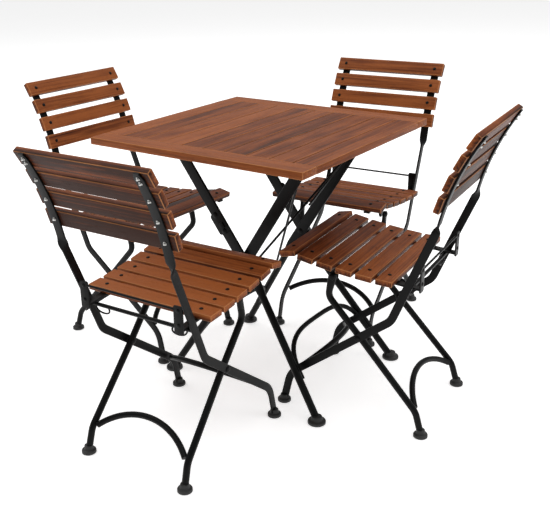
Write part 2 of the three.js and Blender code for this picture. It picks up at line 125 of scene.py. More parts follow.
ARCH_RADIUS, ARCH_RISE, ARCH_STEPS = 0.008, 0.062, 28
FRONT_ARCH_FOOT, REAR_ARCH_FOOT = (0.200, 0.115), (-0.130, 0.073)
FRONT_ARCH_WELD, REAR_ARCH_WELD = 0.001, 0.002
CHAIR_FOOT_RADIUS = 0.019
SLAT_LENGTH, SLAT_EDGE = 0.376, 0.0026
SEAT_SLAT_COUNT, SEAT_PITCH = 6, 0.0543
SEAT_SLAT_WIDE, SEAT_SLAT_THICK = 0.045, 0.016
SEAT_REAR, SEAT_SLOPE, SEAT_RADIUS = (-0.045, 0.437), 0.037, 1.470
NOSE_Z, NOSE_TILT, NOSE_EDGE = 0.468, math.radians(-11), 0.0224
RAIL_X, RAIL_WIDE, RAIL_THICK = 0.141, 0.020, 0.006
RAIL_REAR, RAIL_NOSE_SHARE, RAIL_STEP = (-0.128, 0.4315), 0.9, 0.030
LUG, LUG_EDGE, LUG_IN, LUG_UP = (0.005, 0.022, 0.038), 0.008, 0.0075, 0.0085
BACK_SLAT_FIRST, BACK_SLAT_PITCH, BACK_SLAT_COUNT = 0.068, 0.056, 4
BACK_SLAT_WIDE, BACK_SLAT_THICK = 0.042, 0.0165
END_PLATE, END_PLATE_EDGE = (0.026, 0.004, 0.071), 0.005
END_PLATE_PLACE = (0.142, -0.128, 0.4405)
CATCH_ROD, CATCH_RADIUS = (-0.128, 0.466), 0.003
SLIDER, SLIDER_RADIUS = (-0.096, 0.404), 0.005
GUIDE_X, GUIDE_RADIUS = 0.118, 0.0022
GUIDE_LOOP = (
    (-0.018, 0.403), (-0.023, 0.393), (-0.017, 0.385), (0, 0.383), (0.017, 0.388), (0.024, 0.402),
)
HEAD_X, HEAD_SUNK, RIVET_SUNK = 0.145, 0.0002, 0.0003
TOP_NUTS, END_PLATE_HEADS = (-0.0065, 0.0065), (-0.013, 0.024)
CROSSING_RIVET_X = (STILE_X + STILE_THICK / 2 - RIVET_SUNK, REAR_LEG_X - 0.0078)
HINGE_RIVET_X = (REAR_LEG_X + 0.0043, RAIL_X - 0.0098)

# ---- Tones of the wood: 0 is the usual one, below it is darker; some of them are painted light and shade ----

# Painted shade: the darker tone given to a seat slat's underside and a back slat's rear side.
PAINTED_SHADE_TONE = -2.4  # a seat's underside and a back's rear side
# Painted light and shade on each chair's seat slats: chair1's seat lighter, the seats of chairs 3 and 4
# darker as if in the table's shade.
SEAT_PAINTED_LIGHT_AND_SHADE = {"chair1": 1.6, "chair2": 0.3, "chair3": -0.8, "chair4": -0.8}
BOARD_TONE_SPREAD, PLACE_TONE_SPREAD = 0.5, 0.4
GRAIN_REACH, GRAIN_LEAN = 9, 0.5  # the boards are cut from anywhere in this much wood

# ---- Camera ----

CAMERA_PLACE = Vector((1.349, -1.909, 1.254))
CAMERA_PAN, CAMERA_TILT, CAMERA_ROLL = math.radians(-36.1), math.radians(21.9), math.radians(-1.25)
CAMERA_LENS = 54.7
CAMERA_SHIFT = (0.060, 0.016)


def make_camera():
    bpy.ops.object.camera_add(location=CAMERA_PLACE)
    camera = bpy.context.object
    camera.name = "camera"
    ahead = Vector((
        math.sin(CAMERA_PAN) * math.cos(CAMERA_TILT),
        math.cos(CAMERA_PAN) * math.cos(CAMERA_TILT),
        -math.sin(CAMERA_TILT),
    ))
    turn = Matrix.Rotation(CAMERA_ROLL, 3, -ahead) @ ahead.to_track_quat("-Z", "Y").to_matrix()
    camera.rotation_euler = turn.to_euler()
    camera.data.lens = CAMERA_LENS
    camera.data.shift_x, camera.data.shift_y = CAMERA_SHIFT
    bpy.context.scene.camera = camera


# ---- Working on a mesh ----


def deselect_all():
    if bpy.context.object and bpy.context.object.mode != "OBJECT":
        bpy.ops.object.mode_set(mode="OBJECT")
    bpy.ops.object.select_all(action="DESELECT")


def work_on(piece):
    deselect_all()
    piece.select_set(True)
    bpy.context.view_layer.objects.active = piece


def close_up(piece, angle=40):
    """Merges doubles, turns the faces outwards and smooths all but the sharp edges."""
    work_on(piece)
    bpy.ops.object.mode_set(mode="EDIT")
    bpy.ops.mesh.select_all(action="SELECT")
    bpy.ops.mesh.remove_doubles(threshold=0.00002)
    bpy.ops.mesh.normals_make_consistent(inside=False)
    bpy.ops.object.mode_set(mode="OBJECT")
    bpy.ops.object.shade_smooth_by_angle(angle=math.radians(angle))


def join(pieces, name):
    deselect_all()
    for piece in pieces:
        piece.select_set(True)
    bpy.context.view_layer.objects.active = pieces[0]
    bpy.ops.object.join()
    joined = bpy.context.object
    joined.name = name
    return joined


def copy_of(piece, name, matrix):
    twin = piece.copy()
    twin.data = piece.data.copy()
    twin.name = name
    twin.data.transform(matrix)
    bpy.context.scene.collection.objects.link(twin)
    return twin


# ---- Lines ----


def clamped(share):
    return min(1.0, max(0.0, share))


def eased(share):
    """From 0 to 1 with a soft start and a soft end."""
    held = clamped(share)
    return held * held * (3 - 2 * held)


def bent_line(corners, steps=6):
    """Points (y, z) along corners (y, z, bend radius), with each bend as an arc."""
    points = []
    for i, (y, z, radius) in enumerate(corners):
        corner = Vector((y, z))
        if not radius:
            points.append(corner)
            continue
        back = (Vector(corners[i - 1][:2]) - corner).normalized()
        ahead = (Vector(corners[i + 1][:2]) - corner).normalized()
        half = math.acos(back.dot(ahead)) / 2
        centre = corner + (back + ahead).normalized() * radius / math.sin(half)
        start = corner + back * radius / math.tan(half) - centre
        side = -1 if back.x * ahead.y - back.y * ahead.x > 0 else 1
        for step in range(steps + 1):
            turn = side * (math.pi - 2 * half) * step / steps
            points.append(centre + Matrix.Rotation(turn, 2) @ start)
    return points


def filled_in(points, longest):
    """The same line with no stretch longer than the given length."""
    line = [points[0]]
    for start, end in zip(points, points[1:]):
        count = max(1, math.ceil((end - start).length / longest))
        line += [start.lerp(end, (i + 1) / count) for i in range(count)]
    return line


def rounded_line(points, passes=2):
    """Cuts the corners of a line, as often as told."""
    for _ in range(passes):
        line = [points[0]]
        for start, end in zip(points, points[1:]):
            line += [start.lerp(end, 0.25), start.lerp(end, 0.75)]
        points = line + [points[-1]]
    return points


def back_curve(distance):
    """(y, z, lean) of the back, a distance up from the twist."""
    low, high = BACK_LEAN
    radius = BACK_LENGTH / (high - low)
    lean = low + distance / radius
    y = TWIST[0] - radius * (math.cos(low) - math.cos(lean))
    return y, TWIST[1] + radius * (math.sin(lean) - math.sin(low)), lean


def seat_height(y):
    along = y - SEAT_REAR[0]
    return SEAT_REAR[1] + SEAT_SLOPE * along + along**2 / (2 * SEAT_RADIUS)


def seat_places():
    """(y, z, tilt) of the middle of each seat slat's upper face, from the rear."""
    places = []
    for i in range(SEAT_SLAT_COUNT - 1):
        y = SEAT_REAR[0] + i * SEAT_PITCH
        places.append((y, seat_height(y), math.atan(SEAT_SLOPE + (y - SEAT_REAR[0]) / SEAT_RADIUS)))
    return places + [(SEAT_REAR[0] + (SEAT_SLAT_COUNT - 1) * SEAT_PITCH, NOSE_Z, NOSE_TILT)]


# ---- Bars ----

BAR_SIDES = 20


def round_section(radius):
    angles = [2 * math.pi * k / BAR_SIDES for k in range(BAR_SIDES)]
    return [Vector((radius * math.cos(angle), radius * math.sin(angle))) for angle in angles]


def flat_section(wide, thick, edge=0.0011):
    """A rectangle with rounded corners, in as many points as a round section."""
    per_corner = BAR_SIDES // 4
    points = []
    for k in range(BAR_SIDES):
        quarter, step = divmod(k, per_corner)
        angle = math.pi / 2 * (quarter + step / (per_corner - 1))
        way = ((1, 1), (-1, 1), (-1, -1), (1, -1))[quarter]
        points.append(Vector((
            way[0] * (wide / 2 - edge) + edge * math.cos(angle),
            way[1] * (thick / 2 - edge) + edge * math.sin(angle),
        )))
    return points


def between(first, second, share):
    return [a.lerp(b, share) for a, b in zip(first, second)]


def bent_bar(name, line, section, wide_way, twist=None):
    """A straight bar, cut into lengths, then bent along a line and pressed to its section.

    The section is one outline, or a function that gives one for a point's number; twist is a function that
    gives an angle for it.
    """
    count = len(line)
    deselect_all()
    bpy.ops.mesh.primitive_cylinder_add(vertices=BAR_SIDES, radius=1, depth=1)
    bar = bpy.context.object
    bar.name = name
    for group in (bar.data.vertices, bar.data.polygons):
        for item in group:
            item.select = False
    for edge in bar.data.edges:
        low, high = (bar.data.vertices[i].co.z for i in edge.vertices)
        edge.select = abs(low - high) > 0.5
    if count > 2:
        bpy.ops.object.mode_set(mode="EDIT")
        bpy.ops.mesh.select_mode(type="EDGE")
        bpy.ops.mesh.subdivide(number_cuts=count - 2)
        bpy.ops.object.mode_set(mode="OBJECT")
    frames = []
    for i, spot in enumerate(line):
        along = (line[min(i + 1, count - 1)] - line[max(i - 1, 0)]).normalized()
        wide = (wide_way - along * wide_way.dot(along)).normalized()
        if twist:
            wide = Matrix.Rotation(twist(i), 3, along) @ wide
        frames.append((spot, wide, along.cross(wide), section(i) if callable(section) else section))
    for vertex in bar.data.vertices:
        station = round((vertex.co.z + 0.5) * (count - 1))
        turn = math.atan2(vertex.co.y, vertex.co.x) / (2 * math.pi)
        spot, wide, thin, outline = frames[station]
        point = outline[round(turn * BAR_SIDES) % BAR_SIDES]
        vertex.co = spot + wide * point.x + thin * point.y
    close_up(bar)
    return bar


def turned(name, profile, sides):
    """A piece turned on a lathe, from its (radius, height) profile, foot first."""
    deselect_all()
    radius, height = profile[0]
    bpy.ops.mesh.primitive_circle_add(vertices=sides, radius=radius, fill_type="NGON")
    piece = bpy.context.object
    piece.name = name
    piece.data.transform(Matrix.Translation((0, 0, height)))
    bpy.ops.object.mode_set(mode="EDIT")
    bpy.ops.mesh.select_all(action="SELECT")
    for next_radius, next_height in profile[1:]:
        bpy.ops.mesh.extrude_region_move(TRANSFORM_OT_translate={"value": (0, 0, next_height - height)})
        share = next_radius / radius
        bpy.ops.transform.resize(value=(share, share, 1), center_override=(0, 0, 0))
        radius, height = next_radius, next_height
    bpy.ops.object.mode_set(mode="OBJECT")
    close_up(piece, 30)
    return piece


def plate(name, size, edge, middle):
    """A flat plate with rounded corners and softened edges; size is (x, y, z)."""
    deselect_all()
    bpy.ops.mesh.primitive_cube_add(size=1)
    piece = bpy.context.object
    piece.name = name
    piece.data.transform(Matrix.Diagonal((*size, 1)))
    thin = min(range(3), key=lambda axis: size[axis])
    bpy.ops.object.mode_set(mode="EDIT")
    bpy.ops.mesh.select_all(action="DESELECT")
    bpy.ops.object.mode_set(mode="OBJECT")
    for line in piece.data.edges:
        start, end = (piece.data.vertices[i].co for i in line.vertices)
        line.select = abs(start[thin] - end[thin]) > size[thin] / 2
    bpy.ops.object.mode_set(mode="EDIT")
    bpy.ops.mesh.select_mode(type="EDGE")
    bpy.ops.mesh.bevel(offset=edge, segments=5, affect="EDGES")
    bpy.ops.object.mode_set(mode="OBJECT")
    piece.data.transform(Matrix.Translation(middle))
    soften = piece.modifiers.new("soften", "BEVEL")
    soften.width = 0.0007
    soften.segments = 2
    work_on(piece)
    bpy.ops.object.modifier_apply(modifier="soften")
    close_up(piece)
    return piece


# ---- Boards ----

draw = random.Random(11)


def board(name, size, edge, matrix, tone=0.0, painted_shade_side=0):
    """A wooden slat; size is (long, wide, thick). Its attributes hold its place in the wood, its tone (with
    painted shade on a shaded side), and wear.

    The last argument is -1 or 1 for a slat whose lower or upper side gets painted shade, a darker tone.
    """
    deselect_all()
    bpy.ops.mesh.primitive_cube_add(size=1)
    piece = bpy.context.object
    piece.name = name
    half = Vector(size) / 2
    piece.data.transform(Matrix.Diagonal((*size, 1)))
    bpy.ops.object.mode_set(mode="EDIT")
    bpy.ops.mesh.select_all(action="SELECT")
    bpy.ops.mesh.bevel(offset=edge, segments=4, affect="EDGES")
    bpy.ops.object.mode_set(mode="OBJECT")
    close_up(piece, 50)
    mesh = piece.data
    for layer, kind in (("grain", "FLOAT_VECTOR"), ("wear", "FLOAT"), ("tone", "FLOAT")):
        mesh.attributes.new(layer, kind, "POINT")
    grain, wear, tone_and_painted_shade = (mesh.attributes[layer] for layer in ("grain", "wear", "tone"))
    offset = Vector([draw.uniform(0, GRAIN_REACH) for _ in range(3)])
    lean = draw.uniform(-GRAIN_LEAN, GRAIN_LEAN)
    own_tone = tone + draw.uniform(-BOARD_TONE_SPREAD, BOARD_TONE_SPREAD)
    for vertex in mesh.vertices:
        into_edge = sorted(max(0.0, abs(vertex.co[axis]) - half[axis] + edge) / edge for axis in range(3))
        wear.data[vertex.index].value = into_edge[1]
        # Painted shade: the slat's shaded side gets a darker tone.
        tone_and_painted_shade.data[vertex.index].value = own_tone + (PAINTED_SHADE_TONE if vertex.co.z * painted_shade_side > 0 else 0.0)
        grain.data[vertex.index].vector = Matrix.Rotation(lean, 3, "X") @ vertex.co + offset
    mesh.transform(matrix)
    return piece


# ---- Finishes ----


class Value:
    """A socket's value; sums on it add Math nodes."""

    def __init__(self, tree, socket):
        self.tree = tree
        self.socket = socket

    def math(self, operation, *values):
        node = self.tree.nodes.new("ShaderNodeMath")
        node.operation = operation
        for socket, value in zip(node.inputs, values):
            if isinstance(value, Value):
                self.tree.links.new(value.socket, socket)
            else:
                socket.default_value = value
        return Value(self.tree, node.outputs[0])

    def __add__(self, other):
        return self.math("ADD", self, other)

    def __sub__(self, other):
        return self.math("SUBTRACT", self, other)

    def __rsub__(self, other):
        return self.math("SUBTRACT", other, self)

    def __mul__(self, other):
        return self.math("MULTIPLY", self, other)

    __radd__ = __add__
    __rmul__ = __mul__

    def over(self, low, high):
        """0 below low, 1 above high, a straight line between."""
        held = self.math("MAXIMUM", (self - low) * (1 / (high - low)), 0.0)
        return held.math("MINIMUM", held, 1.0)


class Finish:
    """One material, made of nodes."""

    def __init__(self, name):
        self.material = bpy.data.materials.new(name)
        self.material.use_nodes = True
        self.tree = self.material.node_tree
        self.shader = self.tree.nodes["Principled BSDF"]

    def node(self, kind, sockets=None, out=0, stops=None, **settings):
        """Adds a node: its settings first, then the values or links of its sockets."""
        node = self.tree.nodes.new(kind)
        for name, value in settings.items():
            setattr(node, name, value)
        if stops:
            ramp = node.color_ramp.elements
            while len(ramp) < len(stops):
                ramp.new(0.5)
            for element, (place, colour) in zip(ramp, stops):
                element.position = place
                element.color = (*colour, 1)
        self.fill(node, sockets or {})
        return Value(self.tree, node.outputs[out])

    def fill(self, node, sockets):
        for name, value in sockets.items():
            if isinstance(value, Value):
                self.tree.links.new(value.socket, node.inputs[name])
            else:
                node.inputs[name].default_value = value

    def noise(self, place, stretch, detail=4.0, roughness=0.55, distortion=0.0):
        stretched = self.node("ShaderNodeVectorMath", {0: place, 1: stretch}, operation="MULTIPLY")
        sockets = {"Vector": stretched, "Scale": 1.0, "Detail": detail, "Roughness": roughness}
        return self.node("ShaderNodeTexNoise", {**sockets, "Distortion": distortion})

    def mixed(self, share, first, second):
        return self.node("ShaderNodeMix", {0: share, 6: first, 7: second}, out=2, data_type="RGBA")

    def bump(self, height, distance, strength):
        sockets = {"Height": height, "Distance": distance, "Strength": strength}
        return self.node("ShaderNodeBump", sockets)

    def set(self, **sockets):
        self.fill(self.shader, {name.replace("_", " "): value for name, value in sockets.items()})
        return self.material


def wood_finish(name, dark, middle, light, worn):
    """Oiled hardwood: bands and rings along the board, fine streaks, open pores and lighter worn edges."""
    finish = Finish(name)
    place = finish.node("ShaderNodeAttribute", out="Vector", attribute_name="grain")
    # The tone attribute holds each slat's own tone, plus painted shade on shaded sides and painted light and
    # shade on chair seats.
    tone = finish.node("ShaderNodeAttribute", out="Fac", attribute_name="tone")
    wear = finish.node("ShaderNodeAttribute", out="Fac", attribute_name="wear")
    bands = finish.noise(place, (1.3, 30, 30), detail=3, distortion=0.6)
    streaks = finish.noise(place, (5, 170, 170), detail=4, roughness=0.6)
    pores = finish.noise(place, (55, 1500, 1500), detail=2)
    patches = finish.noise(place, (9, 14, 14), detail=2)
    across = finish.node("ShaderNodeSeparateXYZ", {0: place}, out="Y")
    phase = across * 620 + bands * 26
    rings = phase.math("SINE", phase) * 0.5 + 0.5
    figure = bands * 0.65 + streaks * 0.8 + rings * 0.12 + patches * 0.35 + tone * 0.17 - 0.35
    colour = finish.node(
        "ShaderNodeValToRGB",
        {0: figure},
        stops=((0.24, dark), (0.50, middle), (0.80, light)),
    )
    pore_mask = pores.over(0.56, 0.66) * streaks.over(0.40, 0.60)
    colour = finish.mixed(pore_mask * 0.40, colour, (*[0.35 * part for part in dark], 1))
    worn_mask = wear.over(0.10, 0.60) * (patches * 0.9 + streaks * 0.6)
    colour = finish.mixed(worn_mask.over(0.12, 1.0), colour, (*worn, 1))
    height = streaks * 0.5 + rings * 0.12 - pore_mask * 0.6
    return finish.set(
        Base_Color=colour,
        Roughness=0.38 + streaks * 0.16 + pore_mask * 0.2,
        Normal=finish.bump(height, 0.0006, 0.45),
        Specular_IOR_Level=0.13,
    )


def steel_finish():
    """Satin black powder coat: a fine orange peel, with dust and rubbed spots."""
    finish = Finish("black_powder_coat")
    place = finish.node("ShaderNodeTexCoord", out="Object")
    peel = finish.noise(place, (900, 900, 900), detail=2)
    cloud = finish.noise(place, (14, 14, 14), detail=5)
    rubbed = finish.noise(place, (160, 160, 160), detail=3).over(0.66, 0.78) * cloud.over(0.5, 0.62)
    colour = finish.mixed(cloud.over(0.40, 0.75), (0.0015, 0.0015, 0.0015, 1), (0.0040, 0.0040, 0.0040, 1))
    colour = finish.mixed(rubbed * 0.4, colour, (0.035, 0.033, 0.030, 1))
    return finish.set(
        Base_Color=colour,
        Roughness=0.30 + cloud * 0.16 + peel * 0.06,
        Normal=finish.bump(peel, 0.0003, 0.25),
        Specular_IOR_Level=0.14,
    )


def nut_finish():
    """Bright zinc, a little dulled."""
    finish = Finish("bright_zinc")
    place = finish.node("ShaderNodeTexCoord", out="Object")
    dull = finish.noise(place, (260, 260, 260), detail=4)
    colour = finish.mixed(dull.over(0.42, 0.68), (0.70, 0.70, 0.68, 1), (0.42, 0.41, 0.39, 1))
    return finish.set(Base_Color=colour, Metallic=1.0, Roughness=0.22 + dull * 0.25)


def glide_finish():
    """Moulded black plastic with scuffed grey grain."""
    finish = Finish("moulded_glide")
    place = finish.node("ShaderNodeTexCoord", out="Object")
    grain = finish.noise(place, (700, 700, 700), detail=3)
    scuffs = finish.noise(place, (60, 60, 220), detail=5)
    colour = finish.mixed(scuffs.over(0.55, 0.75) * 0.6, (0.011, 0.011, 0.011, 1), (0.045, 0.043, 0.040, 1))
    return finish.set(
        Base_Color=colour,
        Roughness=0.42 + scuffs * 0.25,
        Normal=finish.bump(grain, 0.0003, 0.3),
    )


WOOD_DARK, WOOD_MIDDLE, WOOD_LIGHT = (0.030, 0.0075, 0.0025), (0.150, 0.036, 0.0085), (0.310, 0.088, 0.022)
WOOD_WORN = (0.52, 0.215, 0.080)

WOOD = wood_finish("chestnut", WOOD_DARK, WOOD_MIDDLE, WOOD_LIGHT, WOOD_WORN)
STEEL = steel_finish()
ZINC = nut_finish()
GLIDE = glide_finish()


def coated(piece, material):
    piece.data.materials.clear()
    piece.data.materials.append(material)
    return piece


# ---- Hardware ----

HEAD_SIDES, NUT_SIDES, RIVET_SIDES, FOOT_SIDES = 14, 12, 18, 32
HEAD_PROFILE = ((0.0052, 0), (0.0052, 0.0005), (0.0046, 0.0016), (0.0032, 0.0024), (0.0012, 0.0028))
RIVET_PROFILE = ((0.0085, 0), (0.0085, 0.0008), (0.0078, 0.0022), (0.0056, 0.0036), (0.0022, 0.0043))
NUT_PROFILE = (
    (0.0044, 0), (0.0044, 0.0006), (0.0032, 0.0007), (0.0032, 0.0026), (0.0027, 0.0030), (0.0025, 0.0038),
    (0.0018, 0.0048), (0.0007, 0.0052),
)
FOOT_PROFILE = (
    (0.90, 0), (1.0, 0.0014), (1.0, 0.0072), (0.95, 0.0090), (0.80, 0.0103), (0.70, 0.0108), (0.64, 0.0126),
    (0.60, 0.0190), (0.56, 0.0215),
)


def pointing(spot, way):
    """Stands a turned piece at a spot, its axis along a direction."""
    return Matrix.Translation(spot) @ Vector(way).to_track_quat("Z", "Y").to_matrix().to_4x4()


def spread(pattern, name, stands):
    """Copies of one small piece at several stands, joined."""
    copies = [copy_of(pattern, f"{name}_{i}", stand) for i, stand in enumerate(stands)]
    joined = join(copies, name)
    bpy.data.objects.remove(pattern)
    return joined


def foot(name, radius, spot):
    piece = turned(name, [(radius * share, height) for share, height in FOOT_PROFILE], FOOT_SIDES)
    piece.data.transform(Matrix.Translation(spot))
    return coated(piece, GLIDE)


# ---- Chair pieces, in the chair's own frame ----
# Most makers return {name: (piece, part of the chair it rides on, CAD nodes it stands for, slot)}.


def splayed(y, z, side):
    return Vector((side * (STILE_X + SPLAY * max(0.0, SPLAY_FROM_Z - z) / SPLAY_FROM_Z), y, z))


def chair_stile(side, label):
    """One flat bar: face-on behind the back slats, twisted a quarter turn, then edge-on to the foot."""
    upper = [Vector(back_curve(BACK_LENGTH * (1 - i / BACK_STEPS))[:2]) for i in range(BACK_STEPS)]
    lower = filled_in(bent_line(((*TWIST, 0), *STILE_CORNERS)), STILE_STEP)
    joint = filled_in([upper[-1], lower[0]], TWIST_STEP)[1:-1]
    flat = upper + joint + filled_in(lower[:2], TWIST_STEP)[:-1] + lower[1:]
    line = [splayed(y, z, side) for y, z in flat]
    turn_from = TWIST[1] + TWIST_LENGTH / 2

    def turned_share(i):
        return eased((turn_from - line[i].z) / TWIST_LENGTH)

    def section(i):
        wide = STILE_WIDE + (STILE_DEEP - STILE_WIDE) * turned_share(i)
        return flat_section(wide * (1.0 if i else STILE_TIP_SHARE), STILE_THICK)

    def twist(i):
        return side * math.pi / 2 * turned_share(i)

    return coated(bent_bar(f"stile_{label}", line, section, ACROSS, twist), STEEL)


def chair_rear_leg(side, label):
    """A tube, pressed flat where it hinges on the seat."""
    line = []
    for y, z in filled_in(bent_line(REAR_CORNERS), REAR_LEG_STEP):
        drop = max(0.0, PIVOT[1] - z) / PIVOT[1]
        line.append(Vector((side * (REAR_LEG_X + (REAR_FOOT_X - REAR_LEG_X) * drop), y, z)))
    line.insert(0, line[0] + (line[0] - line[1]).normalized() * REAR_LEG_TIP)
    tube = round_section(REAR_LEG_RADIUS)
    pressed = flat_section(PRESSED_WIDE, PRESSED_THICK, PRESSED_EDGE)
    tip = between(pressed, round_section(PRESSED_EDGE), REAR_TIP_ROUND)

    def section(i):
        down = (line[0] - line[i]).length
        return between(pressed, tube, clamped((down - PRESSED_LENGTH) / PRESSED_EASE)) if i else tip

    return coated(bent_bar(f"rear_leg_{label}", line, section, TABLE_ACROSS), STEEL)


def bow_line(half_span, foot_spot, top):
    """Part of a circle from one leg to the other, rising from the foot's (y, z) to the top's."""
    way = Vector(top) - Vector(foot_spot)
    rise = way.length
    radius = (half_span**2 + rise**2) / (2 * rise)
    half = math.asin(half_span / radius)
    line = []
    for i in range(ARCH_STEPS + 1):
        angle = half * (2 * i / ARCH_STEPS - 1)
        y, z = Vector(foot_spot) + way * ((radius * math.cos(angle) - radius + rise) / rise)
        line.append(Vector((radius * math.sin(angle), y, z)))
    return line


def chair_arch(name, half_span, start, towards):
    start = Vector(start)
    top = start + (Vector(towards) - start).normalized() * ARCH_RISE
    return coated(bent_bar(name, bow_line(half_span, start, top), round_section(ARCH_RADIUS), UP), STEEL)


def chair_rail(side, label):
    """The flat bar under the slats' ends, with the lug that hinges on the rear leg."""
    places = seat_places()
    rear = SEAT_REAR[0] - SEAT_SLAT_WIDE / 2
    crest = places[-1][0] - NOSE_EDGE
    nose = NOSE_EDGE * RAIL_NOSE_SHARE
    edge = (places[-1][0] + nose, NOSE_Z + nose * math.tan(NOSE_TILT))
    drop = SEAT_SLAT_THICK + RAIL_THICK / 2 - RIVET_SUNK
    contour = [RAIL_REAR, (rear, seat_height(rear)), *[place[:2] for place in places[:-1]]]
    contour += [(crest, seat_height(crest)), places[-1][:2], edge]
    line = [Vector((side * RAIL_X, y, z - drop)) for y, z in contour]
    line = rounded_line(filled_in(line, RAIL_STEP), 1)
    bar = bent_bar(f"rail_bar_{label}", line, flat_section(RAIL_WIDE, RAIL_THICK), ACROSS)
    lug_middle = Vector((side * (RAIL_X - LUG_IN), SEAT_HINGE[0], SEAT_HINGE[1] + LUG_UP))
    lug = plate(f"lug_{label}", LUG, LUG_EDGE, lug_middle)
    return coated(join([bar, lug], f"seat_rail_{label}"), STEEL)


def slat_matrix(y, z, tilt):
    return Matrix.Translation((0, y, z)) @ Matrix.Rotation(tilt, 4, "X")


def chair_seat_slats():
    slats = {}
    size = (SLAT_LENGTH, SEAT_SLAT_WIDE, SEAT_SLAT_THICK)
    for i, (y, z, tilt) in enumerate(seat_places()):
        name = f"seat_slat_{i + 1}"
        lowered = slat_matrix(y, z, tilt) @ Matrix.Translation((0, 0, -SEAT_SLAT_THICK / 2))
        piece = coated(board(name, size, SLAT_EDGE, lowered, painted_shade_side=-1), WOOD)
        slats[name] = (piece, "seat", ["seat_slats"] if i == 0 else [], "wood")
    return slats


def back_places():
    return [back_curve(BACK_SLAT_FIRST + i * BACK_SLAT_PITCH) for i in range(BACK_SLAT_COUNT)]


def off_back(y, z, lean, forward, up=0.0):
    """(y, z) of a point forward of the stile's middle line, and up along it."""
    return (
        y + forward * math.cos(lean) - up * math.sin(lean),
        z + forward * math.sin(lean) + up * math.cos(lean),
    )


def chair_back_slats():
    slats = {}
    size = (SLAT_LENGTH, BACK_SLAT_WIDE, BACK_SLAT_THICK)
    for i, (y, z, lean) in enumerate(back_places()):
        name = f"back_slat_{i + 1}"
        middle = off_back(y, z, lean, STILE_THICK / 2 + BACK_SLAT_THICK / 2)
        matrix = slat_matrix(*middle, math.pi / 2 + lean)
        piece = coated(board(name, size, SLAT_EDGE, matrix, painted_shade_side=1), WOOD)
        slats[name] = (piece, "frame", ["back_slats"] if i == 0 else [], "wood")
    return slats


def chair_heads():
    """The black heads on the seat and in front of the back, and the bright nuts behind it."""
    seat_stands, back_stands, nut_stands = [], [], []
    for side in (-1, 1):
        for y, z, tilt in seat_places():
            way = (0, -math.sin(tilt), math.cos(tilt))
            seat_stands.append(pointing((side * HEAD_X, y, z - HEAD_SUNK), way))
        for i, (y, z, lean) in enumerate(back_places()):
            way = Vector((0, math.cos(lean), math.sin(lean)))
            front = off_back(y, z, lean, STILE_THICK / 2 + BACK_SLAT_THICK - HEAD_SUNK)
            back_stands.append(pointing((side * STILE_X, *front), way))
            for up in TOP_NUTS if i == BACK_SLAT_COUNT - 1 else (0.0,):
                behind = off_back(y, z, lean, HEAD_SUNK - STILE_THICK / 2, up)
                nut_stands.append(pointing((side * STILE_X, *behind), -way))
    seat = spread(turned("head", HEAD_PROFILE, HEAD_SIDES), "seat_heads", seat_stands)
    back = spread(turned("head", HEAD_PROFILE, HEAD_SIDES), "back_heads", back_stands)
    nuts = spread(turned("nut", NUT_PROFILE, NUT_SIDES), "back_nuts", nut_stands)
    return {
        "seat_heads": (coated(seat, STEEL), "seat", [], "steel"),
        "back_heads": (coated(back, STEEL), "frame", [], "steel"),
        "back_nuts": (coated(nuts, ZINC), "frame", [], "steel"),
    }


def rivets(profile, name, stands):
    return coated(spread(turned("rivet", profile, RIVET_SIDES), name, stands), STEEL)


def chair_rivets():
    """Rivets where the legs cross and where the seat hinges, and heads on the plates behind the seat."""
    crossing, hinge, heads = [], [], []
    x, y, z = END_PLATE_PLACE
    rear_face = y - END_PLATE[1] / 2 + HEAD_SUNK
    for side in (-1, 1):
        for stands, (outer, inner), spot in (
            (crossing, CROSSING_RIVET_X, PIVOT), (hinge, HINGE_RIVET_X, SEAT_HINGE),
        ):
            stands.append(pointing((side * outer, *spot), (side, 0, 0)))
            stands.append(pointing((side * inner, *spot), (-side, 0, 0)))
        for up in END_PLATE_HEADS:
            heads.append(pointing((side * x, rear_face, z + up), (0, -1, 0)))
    return {
        "crossing_rivets": (rivets(RIVET_PROFILE, "crossing_rivets", crossing), "frame", [], "steel"),
        "hinge_rivets": (rivets(RIVET_PROFILE, "hinge_rivets", hinge), "rear_legs", [], "steel"),
        "plate_rivets": (rivets(HEAD_PROFILE, "plate_rivets", heads), "seat", [], "steel"),
    }


def cross_rod(name, place, radius, half):
    ends = [Vector((side * half, *place)) for side in (-1, 1)]
    return coated(bent_bar(name, ends, round_section(radius), UP), STEEL)


def chair_mechanism():
    """The plates behind the seat, the rod between them, and the bar and its wire guides below."""
    x, y, z = END_PLATE_PLACE
    end_plates, guides = [], []
    for side in (-1, 1):
        end_plates.append(plate(f"end_plate_{side}", END_PLATE, END_PLATE_EDGE, Vector((side * x, y, z))))
        loop = [Vector((side * (GUIDE_X + across), SLIDER[0], high)) for across, high in GUIDE_LOOP]
        wire = round_section(GUIDE_RADIUS)
        guides.append(bent_bar(f"guide_{side}", rounded_line(loop), wire, TABLE_ACROSS))
    catch = cross_rod("catch_rod_bar", CATCH_ROD, CATCH_RADIUS, x - END_PLATE[0] / 2)
    slider = cross_rod("slider_rod", SLIDER, SLIDER_RADIUS, STILE_X - STILE_THICK / 2)
    return {
        "end_plates": (coated(join(end_plates, "end_plates"), STEEL), "seat", [], "steel"),
        "catch_rod_bar": (catch, "seat", ["catch_rod"], "steel"),
        "slider_rod": (slider, "frame", ["slider_bar"], "steel"),
        "guide_loops": (coated(join(guides, "guide_loops"), STEEL), "frame", [], "steel"),
    }


